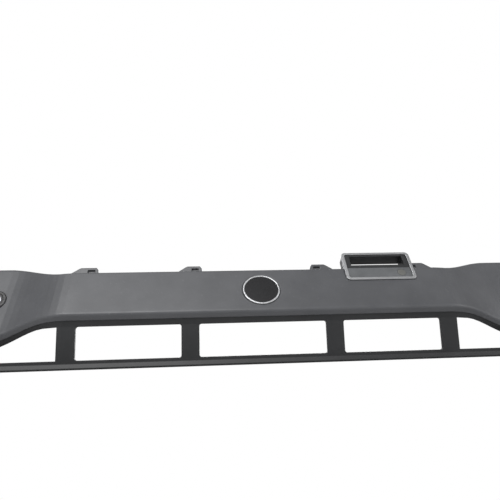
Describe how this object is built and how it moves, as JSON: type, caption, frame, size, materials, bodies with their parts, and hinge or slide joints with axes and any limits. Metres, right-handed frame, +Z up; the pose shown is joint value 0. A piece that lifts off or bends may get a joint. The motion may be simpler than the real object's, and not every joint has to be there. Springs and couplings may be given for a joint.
{
  "type": "server front bezel",
  "caption": "Front bezel for a 2U rack server: grey cover with swept wings, black lower frame with uprights, round badge, display module with push button, key lock and release latch.",
  "frame": {"origin": "under the middle of the whole bezel, at the height of its bottom edge", "axes": "+X to the right seen from the front, +Y back towards the server, +Z up"},
  "size_m": [0.45, 0.0351, 0.0868],
  "materials": {
    "grey_cover": "fine-textured satin paint",
    "black_frame": "fine-textured matte",
    "bright_trim": "brushed satin",
    "black_gloss": "smooth gloss",
    "grey_strip": "satin paint",
    "button_grey": "satin",
    "board_green": "solder mask",
    "switch_metal": "stamped",
    "screw_steel": "zinc plated",
    "ribbon": "smooth",
    "contact_brass": "gold plated",
    "lock_black": "satin black",
    "lock_metal": "turned",
    "plated_steel": "zinc plated",
    "latch_black": "fine-textured matte",
    "spring_steel": "bright wire"
  },
  "bodies": {
    "bezel": {"face_cover": "grey_cover", "lower_frame": "black_frame", "badge_ring": "bright_trim", "badge_disc": "black_gloss", "window_frame": "bright_trim", "module_housing": "grey_cover", "display_shroud": "black_frame", "label_strip": "grey_strip", "button_board": "board_green", "tact_switch": "switch_metal", "board_screws": "screw_steel", "module_back": "black_frame", "module_screws": "screw_steel", "flat_cable": "ribbon", "contact_block": "black_frame", "contact_pins": "contact_brass", "contact_screws": "screw_steel", "frame_screws": "screw_steel", "lock_barrel": "lock_black", "lock_nut": "plated_steel", "latch_spring": "spring_steel", "latch_guide": "plated_steel", "guide_screws": "screw_steel", "hook_bracket": "plated_steel", "hook_screws": "screw_steel"},
    "button": {"push_button": "button_grey"},
    "lock": {"lock_plug": "lock_metal", "lock_cam": "plated_steel", "cam_screw": "screw_steel"},
    "latch": {"release_latch": "latch_black"}
  },
  "joints": [
    {"name": "button_press", "type": "slide", "parent": "bezel", "child": "button", "axis": [0, 0.9936, -0.1132], "range_m": [0, 0.0008], "stiffness_N_per_m": 400, "springref_m": -0.0005},
    {"name": "lock_turn", "type": "hinge", "parent": "bezel", "child": "lock", "pos_m": [-0.197, -0.00121, 0.055], "axis": [0, 0.9903, -0.1392], "range_deg": [0, 90]},
    {"name": "latch_lift", "type": "slide", "parent": "bezel", "child": "latch", "axis": [0, 0, 1], "range_m": [0, 0.004], "stiffness_N_per_m": 400, "springref_m": -0.004, "deforming": ["latch_spring"]}
  ]
}
